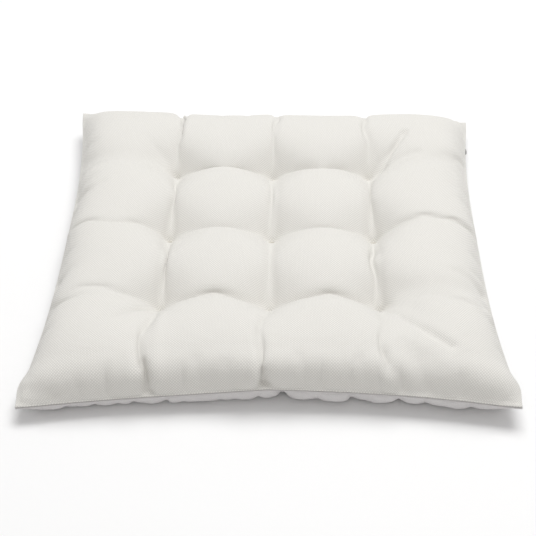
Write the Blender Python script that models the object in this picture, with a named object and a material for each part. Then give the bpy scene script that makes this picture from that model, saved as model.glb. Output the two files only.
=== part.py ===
"""Tufted chair seat pad: a square knife-edge cushion, made of two fabric panels sewn together round
their edge over three layers of polyester filling, and drawn in by a grid of thread tufts.

Metres, +Z up. The pad lies on the floor, the origin is on the floor under its middle, and its front
edge is at -Y. Places on the pad are given as (u, v), each from -1 to 1 across the flat panel.
"""

import math

import bmesh
import bpy
from mathutils import Vector

# The pad's outside.
PAD_SIDE = 0.430  # from corner tip to corner tip
PAD_HEIGHT = 0.052  # from the floor to the crown of a bulge
SEAM_HEIGHT = 0.020  # from the floor to the middle of the side seam
SIDE_DRAW_IN = 0.015  # how far the middle of a side lies inside the line between its corners
CORNER_REACH = 3  # exponent of the draw-in towards a corner: higher makes a narrower corner
EDGE_FULLNESS = 6  # exponent of the edge's roundness: higher stays full for longer

# The tufts and the creases that run between them.
TUFTS_PER_ROW = 3
TUFT_TOP = 0.020  # from the floor to the top panel at a tuft
TUFT_UNDERSIDE = 0.009  # from the floor to the bottom panel at a tuft
CREASE_TOP = 0.039  # from the floor to the top panel's crease, midway between two tufts
CREASE_UNDERSIDE = 0.004  # the same for the bottom panel
UNDERSIDE_DROP = 0.006  # how far the bottom bulges would hang below the floor if it were not there
CREASE_SHARPNESS = 2.2  # exponent of the bulge's profile: higher makes a narrower crease
TUFT_SEAT = 0.0045  # half the width of the flat spot that a tuft pulls into a panel
TUFT_DIMPLE = 0.009  # from the flat spot's edge to where the panel is back on its bulge

# Fabric, seam and threads.
FABRIC = 0.0008
SEAM_ALLOWANCE = 0.010
SEAM_THREAD = 0.0005  # diameter
SEAM_THREAD_INSET = 0.002  # from the fold of the seam to the thread's middle
CLOSING_LENGTH = 0.150  # the stretch of the back seam that is closed by hand after filling
TUFT_THREAD = 0.0012  # diameter of the bundled tufting thread
TUFT_STITCH = 0.005  # from leg to leg of a tuft's loop
TUFT_BEND = 0.0012  # radius of the loop's corners, on the thread's middle line

# The filling.
CORE_SHARE = 0.44  # the core's share of the filling's thickness
WADDING_INSET = 0.006  # from the fold of the seam to the wadding's edge

# The label, a folded tape caught in the right-hand seam.
LABEL_WIDTH = 0.008
LABEL_REACH = 0.005  # from the fold of the seam to the label's outer end
LABEL_TAIL = 0.0011  # how far the label goes in behind the fold
LABEL_TAPE = 0.00025  # thickness of one leaf
LABEL_SLACK = 0.0005  # how far each leaf stands off the middle of the loop
LABEL_GLUED = 0.09  # the share of its reach over which the leaves lie together at either end
LABEL_DROOP = 0.002  # how far the outer end hangs below the seam
LABEL_STEPS = 7  # straight pieces in a leaf
LABEL_PLACE = 0.157  # from the pad's middle towards the back

CLEARANCE = 0.0003  # left between pieces that touch

# How finely the shapes are made.
CELL_STEPS = 4  # stretches of panel between two lines of tufts
SLOPE_STEP = 0.002  # the u or v step over which a panel's slope is read
THREAD_BEVEL = 1  # bevel resolution of a thread, which gives six sides
ARC_STEPS = 4  # straight pieces in a quarter turn of a tuft's loop
HOLE_SIDES = 8
BORE_SIDES = 10
SHARP_EDGE = math.radians(50)

HALF = PAD_SIDE / 2
CELLS = TUFTS_PER_ROW + 1
CELL = 2 / CELLS  # a cell's width in u and in v
SEAM_GAP = SEAM_THREAD + 2 * CLEARANCE  # between the two panels' turned-in edges


# The pad's shape.


def tuft_places():
    """The tufts' u or v values along one row."""
    return [-1 + CELL * (i + 1) for i in range(TUFTS_PER_ROW)]


def plan(u, v):
    """Where a place on the panel lies over the floor. The filling draws it all in, save the corners."""
    drawn = 1 - SIDE_DRAW_IN / HALF * (1 - abs(u * v) ** CORNER_REACH)
    return Vector((u * HALF * drawn, v * HALF * drawn))


def from_crease(w):
    """0 on a line of tufts and 1 at the middle of a cell, or beyond it at the pad's edge."""
    nearest = min(abs(w - place) for place in tuft_places())
    return min(nearest / (CELL / 2), 1)


def bulge(w):
    return 1 - (1 - from_crease(w)) ** CREASE_SHARPNESS


def edge_fullness(u, v):
    """0 at the seam, rising steeply to 1."""
    across = max(1 - abs(u) ** EDGE_FULLNESS, 0)
    along = max(1 - abs(v) ** EDGE_FULLNESS, 0)
    return math.sqrt(across * along)


def clear_of_tuft(u, v):
    """0 on a tuft's flat spot and 1 from the edge of its dimple outwards."""
    at = plan(u, v)
    gaps = [at - plan(a, b) for a in tuft_places() for b in tuft_places()]
    nearest = min(max(abs(gap.x), abs(gap.y)) for gap in gaps)
    return min(max((nearest - TUFT_SEAT) / TUFT_DIMPLE, 0), 1)


def quilted(u, v, tuft, crease, crown):
    """A height that is `tuft` at a tuft, `crease` midway between two, and `crown` inside a cell."""
    across, along = bulge(u), bulge(v)
    either = across + along - across * along
    raised = (crease - tuft) * either + (crown - crease) * across * along
    return tuft + raised * clear_of_tuft(u, v)


def top_height(u, v):
    rise = quilted(u, v, TUFT_TOP, CREASE_TOP, PAD_HEIGHT) - SEAM_HEIGHT
    return SEAM_HEIGHT + SEAM_GAP / 2 + (rise - SEAM_GAP / 2) * edge_fullness(u, v)


def underside_height(u, v):
    drop = SEAM_HEIGHT - quilted(u, v, TUFT_UNDERSIDE, CREASE_UNDERSIDE, -UNDERSIDE_DROP)
    return max(SEAM_HEIGHT - SEAM_GAP / 2 - (drop - SEAM_GAP / 2) * edge_fullness(u, v), 0)


def surface_point(height, side, u, v, depth=0):
    """The point `depth` inside the pad from an outer face. `side` is 1 for the top and -1 below."""
    here = plan(u, v).to_3d() + Vector((0, 0, height(u, v)))
    if depth == 0:
        return here
    slopes = []
    for du, dv in ((SLOPE_STEP, 0), (0, SLOPE_STEP)):
        low, high = (max(u - du, -1), max(v - dv, -1)), (min(u + du, 1), min(v + dv, 1))
        slopes.append((plan(*high) - plan(*low)).to_3d() + Vector((0, 0, height(*high) - height(*low))))
    inward = slopes[1].cross(slopes[0]).normalized() * side
    return here + inward * depth


def filling_point(u, v, share, gap=0):
    """A point in the filling: share 0 is under the top panel, 1 is above the bottom one."""
    depth = FABRIC + CLEARANCE
    top = surface_point(top_height, 1, u, v, depth)
    base = surface_point(underside_height, -1, u, v, depth)
    through = base - top
    return top + through * share + through.normalized() * gap


# Meshes.


def stations(limit=1.0):
    """u or v values to build on: close beside the creases, inside the cells, and at each inset edge.
    A smaller piece keeps those inside its own limit, so that its faces run beside its neighbour's."""
    seat = TUFT_SEAT / (HALF - SIDE_DRAW_IN)
    lines = {place + offset for place in tuft_places() for offset in (-seat, 0, seat)}
    lines |= {-1 + CELL * (i + part / CELL_STEPS) for i in range(CELLS) for part in range(1, CELL_STEPS)}
    for edge in (1.0, wadding_limit(), core_limit()):
        lines |= {-edge, edge}
    return sorted(w for w in lines if abs(w) <= limit)


def inset_limit(inset):
    """The u or v value that lies `inset` inside the fold of the seam."""
    return 1 - inset / HALF


def wadding_limit():
    return inset_limit(WADDING_INSET)


def core_limit():
    return inset_limit(SEAM_ALLOWANCE + WADDING_INSET)


def add_grid(bm, point, lines):
    """One vertex for each pair of lines, as rows."""
    return [[bm.verts.new(point(u, v)) for u in lines] for v in lines]


def add_skin(bm, rows, facing_up):
    """Fills a grid with triangles whose diagonals mirror across both middles."""
    half = (len(rows) - 1) / 2
    for j in range(len(rows) - 1):
        for i in range(len(rows) - 1):
            a, b = rows[j][i], rows[j][i + 1]
            c, d = rows[j + 1][i + 1], rows[j + 1][i]
            split = [(a, b, c), (a, c, d)] if (i < half) == (j < half) else [(a, b, d), (b, c, d)]
            for face in split:
                bm.faces.new(face if facing_up else face[::-1])


def border(rows):
    """A grid's outer vertices in order, anticlockwise from above."""
    last = len(rows) - 1
    return (
        rows[0][:last]
        + [rows[j][last] for j in range(last)]
        + rows[last][:0:-1]
        + [rows[j][0] for j in range(last, 0, -1)]
    )


def bridge(bm, lower, upper):
    """Joins two rings of vertices with triangles that face away from the side they turn round."""
    count = len(lower)
    for k in range(count):
        after = (k + 1) % count
        bm.faces.new((lower[k], lower[after], upper[after]))
        bm.faces.new((lower[k], upper[after], upper[k]))


def material(name, colour, roughness):
    made = bpy.data.materials.new(name)
    made.use_nodes = True
    shader = made.node_tree.nodes["Principled BSDF"]
    shader.inputs["Base Color"].default_value = (*colour, 1)
    shader.inputs["Roughness"].default_value = roughness
    shader.inputs["Metallic"].default_value = 0
    made.diffuse_color = (*colour, 1)
    return made


def add_object(name, data, finish):
    obj = bpy.data.objects.new(name, data)
    bpy.context.scene.collection.objects.link(obj)
    if finish:
        obj.data.materials.append(finish)
    return obj


def mesh_object(name, bm, finish=None):
    bmesh.ops.recalc_face_normals(bm, faces=bm.faces)
    mesh = bpy.data.meshes.new(name)
    bm.to_mesh(mesh)
    bm.free()
    obj = add_object(name, mesh, finish)
    mesh.shade_smooth()
    mesh.set_sharp_from_angle(angle=SHARP_EDGE)
    return obj


def cut(obj, cutter):
    drilled = obj.modifiers.new("Needle holes", "BOOLEAN")
    drilled.operation = "DIFFERENCE"
    drilled.solver = "EXACT"
    drilled.object = cutter


# The pieces.


def make_panel(name, height, side, finish, holes):
    """A fabric panel: a quilted shell whose edge turns in at the seam as the seam allowance."""
    lines = stations()
    seam_face = SEAM_HEIGHT + side * SEAM_GAP / 2

    def inner_point(u, v):
        if max(abs(u), abs(v)) < 1:
            return surface_point(height, side, u, v, FABRIC)
        at_fold = plan(u * inset_limit(FABRIC), v * inset_limit(FABRIC))
        return at_fold.to_3d() + Vector((0, 0, seam_face + side * FABRIC))

    def allowance_edge(depth):
        limit = inset_limit(SEAM_ALLOWANCE)
        ring = border([[(u * limit, v * limit) for u in lines] for v in lines])
        return [bm.verts.new((*plan(u, v), seam_face + side * depth)) for u, v in ring]

    bm = bmesh.new()
    outer = add_grid(bm, lambda u, v: surface_point(height, side, u, v), lines)
    inner = add_grid(bm, inner_point, lines)
    add_skin(bm, outer, side > 0)
    add_skin(bm, inner, side < 0)
    near_face, far_face = allowance_edge(0), allowance_edge(FABRIC)
    bridge(bm, border(outer), near_face)
    bridge(bm, near_face, far_face)
    bridge(bm, far_face, border(inner))
    cut(mesh_object(name, bm, finish), holes)


def make_filling(name, limit, upper, lower, finish, holes):
    """A closed layer of filling between two faces, each a function of u and v."""
    lines = stations(limit)
    bm = bmesh.new()
    top = add_grid(bm, upper, lines)
    base = add_grid(bm, lower, lines)
    add_skin(bm, top, True)
    add_skin(bm, base, False)
    bridge(bm, border(base), border(top))
    cut(mesh_object(name, bm, finish), holes)


def make_fillings(finishes, holes):
    """Wadding over and under a fibre core. Both waddings clear the seam allowances, and the core
    ends inside them."""
    allowance = SEAM_GAP / 2 + FABRIC + CLEARANCE
    above, below = (1 - CORE_SHARE) / 2, (1 + CORE_SHARE) / 2

    def upper_wadding_base(u, v):
        point = filling_point(u, v, above, -CLEARANCE / 2)
        if max(abs(u), abs(v)) > core_limit():
            point.z = max(point.z, SEAM_HEIGHT + allowance)
        return point

    def lower_wadding_top(u, v):
        point = filling_point(u, v, below, CLEARANCE / 2)
        if max(abs(u), abs(v)) > core_limit():
            point.z = min(point.z, SEAM_HEIGHT - allowance)
        return point

    make_filling(
        "upper_wadding",
        wadding_limit(),
        lambda u, v: filling_point(u, v, 0),
        upper_wadding_base,
        finishes["wadding"],
        holes,
    )
    make_filling(
        "fibre_core",
        core_limit(),
        lambda u, v: filling_point(u, v, above, CLEARANCE / 2),
        lambda u, v: filling_point(u, v, below, -CLEARANCE / 2),
        finishes["core"],
        holes,
    )
    make_filling(
        "lower_wadding",
        wadding_limit(),
        lower_wadding_top,
        lambda u, v: filling_point(u, v, 1),
        finishes["wadding"],
        holes,
    )


def make_cutter(name, radius, offsets, sides):
    """Upright cylinders through the pad at every tuft, one for each offset along X."""
    bm = bmesh.new()
    for u in tuft_places():
        for v in tuft_places():
            for offset in offsets:
                rod = bmesh.ops.create_cone(
                    bm, cap_ends=True, segments=sides, radius1=radius, radius2=radius, depth=2 * PAD_HEIGHT
                )
                middle = plan(u, v).to_3d() + Vector((offset, 0, PAD_HEIGHT / 2))
                bmesh.ops.translate(bm, verts=rod["verts"], vec=middle)
    cutter = mesh_object(name, bm)
    cutter.hide_render = True
    cutter.display_type = "WIRE"
    return cutter


def make_thread(name, points, diameter, finish, closed=False):
    curve = bpy.data.curves.new(name, "CURVE")
    curve.dimensions = "3D"
    spline = curve.splines.new("POLY")
    spline.points.add(len(points) - 1)
    for point, place in zip(spline.points, points):
        point.co = (*place, 1)
    spline.use_cyclic_u = closed
    curve.bevel_depth = diameter / 2
    curve.bevel_resolution = THREAD_BEVEL
    curve.use_fill_caps = not closed
    return add_object(name, curve, finish)


def tuft_loop(middle):
    """The loop of a tuft: down one leg, under the pad, up the other leg and back over the top."""
    lift = CLEARANCE + TUFT_THREAD / 2
    top, base = TUFT_TOP + lift, TUFT_UNDERSIDE - lift
    reach = TUFT_STITCH / 2
    corners = ((1, 1, top), (-1, 1, top), (-1, -1, base), (1, -1, base))
    points = []
    for quarter, (right, up, height) in enumerate(corners):
        bend = Vector((right * (reach - TUFT_BEND), 0, height - up * TUFT_BEND))
        for step in range(ARC_STEPS + 1):
            turn = math.radians(90) * (quarter + step / ARC_STEPS)
            points.append(middle + bend + TUFT_BEND * Vector((math.cos(turn), 0, math.sin(turn))))
    return points


def make_tufts(finish):
    for row, v in enumerate(tuft_places(), 1):
        for column, u in enumerate(tuft_places(), 1):
            loop = tuft_loop(plan(u, v).to_3d())
            make_thread(f"tuft_row{row}_col{column}", loop, TUFT_THREAD, finish, closed=True)


def seam_line(ends):
    """Points of the thread's line round the pad, anticlockwise from the middle of the back side, with
    one at `ends` in u and in v, and none close beside it."""
    limit = inset_limit(SEAM_THREAD_INSET)
    beside = 2 * SEAM_THREAD / HALF
    lines = sorted([-ends, ends] + [w for w in stations() if abs(abs(w) - ends) > beside])
    ring = border([[(u, v) for u in lines] for v in lines])
    start = ring.index((0, 1))
    return [(u, v, (*plan(u * limit, v * limit), SEAM_HEIGHT)) for u, v in ring[start:] + ring[:start]]


def make_seam_threads(finish):
    """The machine seam, and the hand stitching that closes the gap left in its back side."""
    ends = CLOSING_LENGTH / 2 / (HALF - SIDE_DRAW_IN)
    line = seam_line(ends)
    in_gap = [(u, place) for u, v, place in line if v == 1 and abs(u) <= ends]
    closing = [Vector(place) for _, place in sorted(in_gap)]
    machine = [Vector(place) for u, v, place in line if not (v == 1 and abs(u) < ends)]
    for end in (0, -1):  # stops a thread's width short of the hand stitching
        machine[end].x += math.copysign(SEAM_THREAD, machine[end].x)
    make_thread("machine_seam_thread", machine, SEAM_THREAD, finish)
    make_thread("closing_seam_thread", closing, SEAM_THREAD, finish)


def label_profile(inset):
    """The folded label's outline from the side, or its hollow's outline where `inset` is one leaf:
    x outwards from the fold of the seam, and height. It is flat in the seam and droops outside."""
    first, last = (LABEL_GLUED, 1 - LABEL_GLUED) if inset else (-LABEL_TAIL / LABEL_REACH, 1)
    upper, lower = [], []
    for step in range(LABEL_STEPS + 1):
        share = first + (last - first) * step / LABEL_STEPS
        outside = max(share, 0)
        middle = -LABEL_DROOP * outside**2
        half = LABEL_TAPE - inset + LABEL_SLACK * math.sin(math.pi * outside)
        upper.append((share * LABEL_REACH, middle + half))
        lower.append((share * LABEL_REACH, middle - half))
    return upper + lower[::-1]


def make_label(finish):
    """A tape folded double, with its cut ends caught in the seam and a small loop at its outer end."""
    fold = plan(1, LABEL_PLACE / (HALF - SIDE_DRAW_IN))
    bm = bmesh.new()

    def ring(inset, y):
        return [bm.verts.new((fold.x + x, fold.y + y, SEAM_HEIGHT + z)) for x, z in label_profile(inset)]

    ends = (-LABEL_WIDTH / 2, LABEL_WIDTH / 2)
    outside = [ring(0, y) for y in ends]
    hollow = [ring(LABEL_TAPE, y) for y in ends]
    bridge(bm, outside[0], outside[1])
    bridge(bm, outside[1], hollow[1])
    bridge(bm, hollow[1], hollow[0])
    bridge(bm, hollow[0], outside[0])
    mesh_object("side_label", bm, finish)


def main():
    for obj in list(bpy.data.objects):
        bpy.data.objects.remove(obj)
    finishes = {
        "top": material("top_fabric", (0.80, 0.79, 0.75), 0.85),
        "bottom": material("bottom_fabric", (0.74, 0.72, 0.71), 0.9),
        "wadding": material("wadding", (0.92, 0.92, 0.90), 1.0),
        "core": material("fibre", (0.88, 0.88, 0.86), 1.0),
        "thread": material("thread", (0.80, 0.77, 0.68), 0.6),
        "label": material("label_tape", (0.02, 0.02, 0.02), 0.7),
    }
    legs = (-TUFT_STITCH / 2, TUFT_STITCH / 2)
    thread_radius = TUFT_THREAD / 2 + CLEARANCE
    needle_holes = make_cutter("needle_holes", thread_radius, legs, HOLE_SIDES)
    tuft_bores = make_cutter("tuft_bores", TUFT_STITCH / 2 + thread_radius, (0,), BORE_SIDES)
    make_panel("top_panel", top_height, 1, finishes["top"], needle_holes)
    make_panel("bottom_panel", underside_height, -1, finishes["bottom"], needle_holes)
    make_fillings(finishes, tuft_bores)
    make_tufts(finishes["thread"])
    make_seam_threads(finishes["thread"])
    make_label(finishes["label"])


main()
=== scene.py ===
"""Looks of a tufted chair seat pad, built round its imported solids.

The cover is simulated as cloth: two flat square panels, joined round their edge, are blown up while
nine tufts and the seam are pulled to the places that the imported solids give. The filling, the seams,
the tufting stitches and the label then follow the simulated cover. Metres, +Z up, front at -Y.
Places on a panel are given as (u, v), each from -1 to 1 across it.
"""

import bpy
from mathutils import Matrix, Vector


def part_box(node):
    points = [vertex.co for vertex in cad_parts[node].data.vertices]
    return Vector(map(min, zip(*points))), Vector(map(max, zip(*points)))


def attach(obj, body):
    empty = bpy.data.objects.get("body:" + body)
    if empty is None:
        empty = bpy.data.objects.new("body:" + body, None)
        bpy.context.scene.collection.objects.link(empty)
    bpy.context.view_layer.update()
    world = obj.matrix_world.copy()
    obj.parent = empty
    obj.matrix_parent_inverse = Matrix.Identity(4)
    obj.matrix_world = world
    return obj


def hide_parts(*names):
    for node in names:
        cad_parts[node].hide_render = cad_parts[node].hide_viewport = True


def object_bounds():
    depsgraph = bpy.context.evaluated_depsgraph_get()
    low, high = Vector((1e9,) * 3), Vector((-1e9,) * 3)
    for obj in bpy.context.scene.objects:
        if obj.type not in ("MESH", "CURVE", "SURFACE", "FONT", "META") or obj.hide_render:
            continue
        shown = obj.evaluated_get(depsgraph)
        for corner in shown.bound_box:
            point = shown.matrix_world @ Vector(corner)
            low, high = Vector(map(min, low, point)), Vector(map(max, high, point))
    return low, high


bl_info = {
    "name": "Tufted Seat Pad",
    "version": (1, 0, 0),
    "blender": (4, 5, 0),
    "location": "View3D > Sidebar > Seat Pad",
    "description": "Sews, stuffs and tufts a chair seat pad round its packed solids",
    "category": "Add Mesh",
}

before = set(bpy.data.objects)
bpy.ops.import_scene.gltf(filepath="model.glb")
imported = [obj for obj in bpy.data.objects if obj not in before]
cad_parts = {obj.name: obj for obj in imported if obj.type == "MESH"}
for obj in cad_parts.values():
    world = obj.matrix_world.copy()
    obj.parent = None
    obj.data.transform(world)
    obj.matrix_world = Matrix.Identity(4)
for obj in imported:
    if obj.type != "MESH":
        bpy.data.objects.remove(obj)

import itertools
import math
from functools import partialmethod

import bpy
import numpy as np
from bpy.props import FloatProperty, FloatVectorProperty, IntProperty, PointerProperty
from mathutils import Matrix, Vector

BODY = "root"

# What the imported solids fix.
CAD_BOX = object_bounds()
ROWS = (1, 2, 3)
TUFTS = {(row, column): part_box(f"tuft_row{row}_col{column}") for row in ROWS for column in ROWS}
THREAD_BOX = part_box("machine_seam_thread")
LABEL_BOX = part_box("side_label")
HALF = CAD_BOX[1].x
SEAM_HEIGHT = (THREAD_BOX[0].z + THREAD_BOX[1].z) / 2
TUFT_STITCH_DEPTH = 0.0015  # from a tuft's outermost thread to the cloth under it
SIDE_MIDDLE = 0.010  # this near to the middle of a side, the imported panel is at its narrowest


def middle(box):
    return (box[0] + box[1]) / 2


def side_draw_in():
    """How far the middle of the pad's right side lies inside its corners."""
    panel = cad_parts["top_panel"].data
    near_middle = [vertex.co.x for vertex in panel.vertices if abs(vertex.co.y) < SIDE_MIDDLE]
    return HALF - max(near_middle)


DRAW_IN = side_draw_in()
SHAPE = {}  # the simulated panels, which the cover's operator fills in
PLY_LAY = 0.0024  # length of thread over which a ply goes once round
THREAD_MAP = "Thread"


# Settings.


def length(label, note, metres, low=0.0, high=1.0):
    return FloatProperty(
        name=label, description=note, default=metres, min=low, max=high, unit="LENGTH", subtype="DISTANCE"
    )


def colour(label, note, red, green, blue):
    return FloatVectorProperty(
        name=label, description=note, default=(red, green, blue), min=0, max=1, size=3, subtype="COLOR"
    )


def amount(label, note, value, low=0.0, high=1.0):
    return FloatProperty(name=label, description=note, default=value, min=low, max=high)


class SeatPadCut(bpy.types.PropertyGroup):
    """The two flat panels, and where their edge ends up."""

    half_width: length("Half Width", "From the middle of a flat panel to its seam", 0.235)
    tuft_pitch: length("Tuft Pitch", "Between two tufts' marks on a flat panel", 0.108)
    front_left: length("Front Left Corner", "Its rise over the seam", -0.004, -0.02)
    front_right: length("Front Right Corner", "Its rise over the seam", 0.0010, -0.02)
    back_left: length("Back Left Corner", "Its rise over the seam", 0.007, -0.02)
    back_right: length("Back Right Corner", "Its rise over the seam", -0.004, -0.02)
    side_rise: length("Side Rise", "Rise of the middle of each side over the seam", 0.003, -0.02)
    corner_round: length("Corner Round", "How far a corner is rounded off", 0.0015)
    front_sag: length("Front Sag", "How far the left half of the front seam sags", 0.003)
    front_fullness: length("Front Fullness", "How far the front stands out over the seam", 0.003)
    base_bulge: length("Base Bulge", "How far the base bellies out under the seam", 0.004)
    cloth_thickness: length("Cloth Thickness", "Thickness of a panel", 0.0008)
    seam_allowance: length("Seam Allowance", "Cloth turned in behind the seam", 0.010)
    seam_gap: length("Seam Gap", "Between the two folded edges", 0.0007)


class SeatPadStuffing(bpy.types.PropertyGroup):
    """The cloth simulation."""

    cells: IntProperty(name="Cells", description="Cloth cells along a side, in fours", default=96, min=16)
    frames: IntProperty(name="Frames", description="Frames to simulate", default=36, min=10)
    pressure: amount("Pressure", "Push of the filling on the cloth", 800, 0, 5000)
    stretch: amount("Stretch Stiffness", "Resistance to stretching", 40, 0, 500)
    crush: amount("Crush Stiffness", "Resistance to being crushed in its plane", 3, 0, 500)
    shear: amount("Shear Stiffness", "Resistance to skewing", 3, 0, 500)
    bend: amount("Bend Stiffness", "Resistance to bending", 0.02, 0, 10)
    point_mass: amount("Point Mass", "Mass of one cloth point", 0.01, 0, 1)
    drag: amount("Drag", "Air drag that settles the cloth", 5, 0, 10)
    damping: amount("Damping", "How fast stretching and shearing die down", 5, 0, 50)
    friction: amount("Friction", "Grip of the cloth on the floor", 5, 0, 80)
    unevenness: length("Unevenness", "Height of the first ripples in the flat cloth", 0.0004)
    flat_from: length("Flat From", "Height over which the wadding flattens the crowns", 0.042)
    flat_within: length("Flat Within", "Height that the flattened crowns keep within", 0.018)


class SeatPadFabric(bpy.types.PropertyGroup):
    """Colours and weaves."""

    top_colour: colour("Top Colour", "Colour of the top panel's yarn", 0.80, 0.785, 0.745)
    # Painted shade: the dark colour painted into the gaps between the top panel's yarns, where shade
    # falls.
    gap_shade_colour: colour("Gap Colour", "Colour between the yarns", 0.52, 0.49, 0.44)
    base_colour: colour("Base Colour", "Colour of the bottom panel", 0.72, 0.70, 0.695)
    yarn: length("Yarn Pitch", "Between two yarns of the top panel", 0.00125)
    fine_yarn: length("Fine Yarn Pitch", "Between two yarns of the bottom panel", 0.0006)
    filling_colour: colour("Filling Colour", "Colour of the polyester fibre", 0.90, 0.90, 0.88)
    thread_colour: colour("Thread Colour", "Colour of the sewing thread", 0.74, 0.71, 0.64)
    label_colour: colour("Label Colour", "Colour of the label's tape", 0.018, 0.018, 0.02)


class SeatPadStitches(bpy.types.PropertyGroup):
    """Threads and the label."""

    stitch: length("Stitch", "Length of a machine stitch", 0.003)
    thread: length("Thread", "Diameter of the sewing thread", 0.0004)
    seam_inset: length("Seam Inset", "From the folded edge to the machine seam", 0.0035)
    tuft_strand: length("Tuft Strand", "Diameter of one strand of the tufting thread", 0.0008)
    closing_length: length("Closing Length", "Hand-sewn stretch of the back seam", 0.150)
    closing_stitch: length("Closing Stitch", "Between two hand stitches", 0.005)


class SeatPadStage(bpy.types.PropertyGroup):
    """Camera, lights and floor."""

    azimuth: amount("Azimuth", "Camera's turn round the pad, in degrees", 1.52, -180, 180)
    elevation: amount("Elevation", "Camera's height over the floor, in degrees", 41.3, -90, 90)
    roll: amount("Roll", "Camera's roll, in degrees", -0.70, -180, 180)
    distance: length("Distance", "From the camera to what it looks at", 1.154, 0, 10)
    lens: amount("Lens", "Focal length in millimetres", 77.5, 1, 500)
    sky: amount("Sky", "Strength of the light from all round", 0.5, 0, 10)
    key: amount("Key Light", "Power of the light over the back, in watts", 43, 0, 1000)
    card: amount("Front Card", "Power of the light in front, in watts", 4.5, 0, 1000)
    floor_colour: colour("Floor Colour", "Colour of the floor", 0.84, 0.84, 0.84)


GROUPS = {
    "cut": SeatPadCut,
    "stuffing": SeatPadStuffing,
    "fabric": SeatPadFabric,
    "stitches": SeatPadStitches,
    "stage": SeatPadStage,
}


class SeatPadSettings(bpy.types.PropertyGroup):
    """All of the pad's settings."""

    cut: PointerProperty(type=SeatPadCut)
    stuffing: PointerProperty(type=SeatPadStuffing)
    fabric: PointerProperty(type=SeatPadFabric)
    stitches: PointerProperty(type=SeatPadStitches)
    stage: PointerProperty(type=SeatPadStage)


def pad():
    """The pad's settings in this scene."""
    return bpy.context.scene.seat_pad


# Shader maths.

# Grains of the weaves' noises, for each metre of cloth.
DRIFT_GRAINS = 25
SLUB_GRAINS = 90
FUZZ_GRAINS = 2600
SOFT_GRAINS = 14
SLUB_STEP = 3.7  # between the noises of two neighbouring yarns


class Shade:
    """A shader socket that works like a number: each operator adds a Math node."""

    def __init__(self, finish, socket):
        self.finish = finish
        self.socket = socket

    def math(self, operation, *others):
        sockets = dict(enumerate((self, *others)))
        return self.finish.node("ShaderNodeMath", {"operation": operation}, sockets)

    def __rsub__(self, other):
        return self.finish.node("ShaderNodeMath", {"operation": "SUBTRACT"}, {0: other, 1: self})

    __add__ = __radd__ = partialmethod(math, "ADD")
    __sub__ = partialmethod(math, "SUBTRACT")
    __mul__ = __rmul__ = partialmethod(math, "MULTIPLY")
    __truediv__ = partialmethod(math, "DIVIDE")
    __pow__ = partialmethod(math, "POWER")

    def humps(self):
        """One rounded hump, from 0 to 1 and back, over each whole number."""
        return (self * math.pi).math("SINE").math("ABSOLUTE")

    def floor(self):
        return self.math("FLOOR")

    def odd(self):
        """1 for an odd whole number, and 0 for an even one."""
        return self.math("FLOORED_MODULO", 2)

    def between(self, low, high):
        """0 up to `low`, 1 from `high`, and straight between them."""
        return self.finish.node("ShaderNodeMapRange", {"clamp": True}, {0: self, 1: low, 2: high})


class Finish:
    """A material that is made up of nodes."""

    def __init__(self, name, sheen=0.0, shine=0.25):
        self.material = bpy.data.materials.new(name)
        self.material.use_nodes = True
        self.tree = self.material.node_tree
        self.shader = self.tree.nodes["Principled BSDF"]
        self.shader.inputs["Sheen Weight"].default_value = sheen
        self.shader.inputs["Specular IOR Level"].default_value = shine

    def node(self, kind, settings, sockets, output=0):
        """Adds a node, sets it up, then gives its sockets their values or links."""
        made = self.tree.nodes.new(kind)
        for name, value in settings.items():
            setattr(made, name, value)
        for place, value in sockets.items():
            if isinstance(value, Shade):
                self.tree.links.new(value.socket, made.inputs[place])
            else:
                made.inputs[place].default_value = value
        return Shade(self, made.outputs[output])

    def place(self, map_name, scale):
        """The two numbers of a map, times `scale`."""
        flat = self.node("ShaderNodeUVMap", {"uv_map": map_name}, {})
        scaled = self.node("ShaderNodeVectorMath", {"operation": "SCALE"}, {0: flat, "Scale": scale})
        across = self.node("ShaderNodeSeparateXYZ", {}, {0: scaled})
        return across, Shade(self, across.socket.node.outputs[1])

    def noise(self, across, along, detail=2.0, away=0.0):
        """Smooth noise from 0 to 1, whose grains are one unit of `across` by one of `along`."""
        spot = self.node("ShaderNodeCombineXYZ", {}, {0: across, 1: along, 2: away})
        return self.node("ShaderNodeTexNoise", {}, {"Vector": spot, "Scale": 1.0, "Detail": detail})

    def solid_noise(self, grain, detail=3.0):
        """Smooth noise from 0 to 1 through space, with grains of that many metres."""
        spot = self.node("ShaderNodeTexCoord", {}, {}, 3)
        return self.node(
            "ShaderNodeTexNoise", {}, {"Vector": spot, "Scale": 1 / grain, "Detail": detail}
        )

    def mix(self, share, first, second):
        """The colour `share` of the way from the first to the second."""
        ends = [end if isinstance(end, Shade) else (*end, 1.0) for end in (first, second)]
        sockets = {0: share, 6: ends[0], 7: ends[1]}
        return self.node("ShaderNodeMix", {"data_type": "RGBA"}, sockets, 2)

    def feed(self, name, value):
        self.tree.links.new(value.socket, self.shader.inputs[name])

    def bump(self, height, distance):
        """Raises the surface by `height` times `distance`, in metres."""
        self.feed("Normal", self.node("ShaderNodeBump", {}, {"Height": height, "Distance": distance}))


def darker(colour_value, share):
    return tuple(share * part for part in colour_value)


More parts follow.
